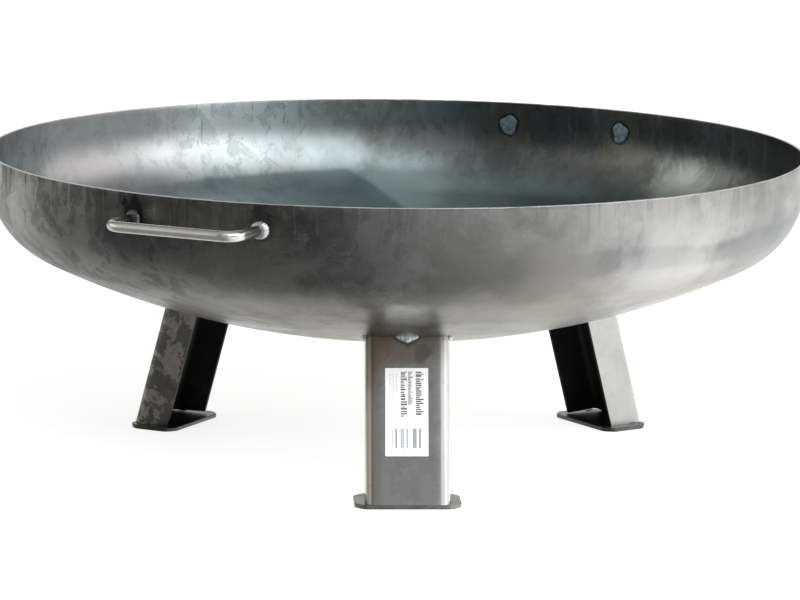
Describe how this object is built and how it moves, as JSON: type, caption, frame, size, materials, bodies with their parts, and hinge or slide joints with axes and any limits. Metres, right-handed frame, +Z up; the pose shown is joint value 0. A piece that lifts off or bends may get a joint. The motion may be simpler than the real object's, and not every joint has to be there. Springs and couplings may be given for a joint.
{
  "type": "fire bowl",
  "caption": "Wide shallow pressed steel fire bowl with a round rim, standing on folded channel legs with flat foot plates, with welded bar handles on opposite sides.",
  "frame": {"origin": "on the bowl's axis at floor level, midway between the two handles", "axes": "+Z up along the bowl's axis, handles on the X axis, one leg along +Y"},
  "size_m": [0.894, 0.8, 0.3],
  "materials": {
    "bowl_steel": "bare hot-rolled sheet, satin mill scale with streaks and heat tint",
    "leg_steel": "bare hot-rolled sheet, satin with brighter folds and mottled scale",
    "plate_steel": "bare hot-rolled flat bar, dark satin",
    "bar_steel": "bright drawn round bar, satin",
    "weld_metal": "bright rippled weld bead",
    "label_paper": null
  },
  "bodies": {
    "root": {"bowl": "bowl_steel", "handle_left": "bar_steel", "handle_right": "bar_steel", "handle_left_weld_front": "weld_metal", "handle_left_weld_rear": "weld_metal", "handle_right_weld_front": "weld_metal", "handle_right_weld_rear": "weld_metal", "leg_front_left": "leg_steel", "leg_front_right": "leg_steel", "leg_rear": "leg_steel", "foot_plate_front_left": "plate_steel", "foot_plate_front_right": "plate_steel", "foot_plate_rear": "plate_steel", "web_weld_front_left": "weld_metal", "web_weld_front_right": "weld_metal", "web_weld_rear": "weld_metal", "corner_welds_front_left": "weld_metal", "corner_welds_front_right": "weld_metal", "corner_welds_rear": "weld_metal", "foot_welds_front_left": "weld_metal", "foot_welds_front_right": "weld_metal", "foot_welds_rear": "weld_metal", "label": "label_paper"}
  },
  "joints": []
}
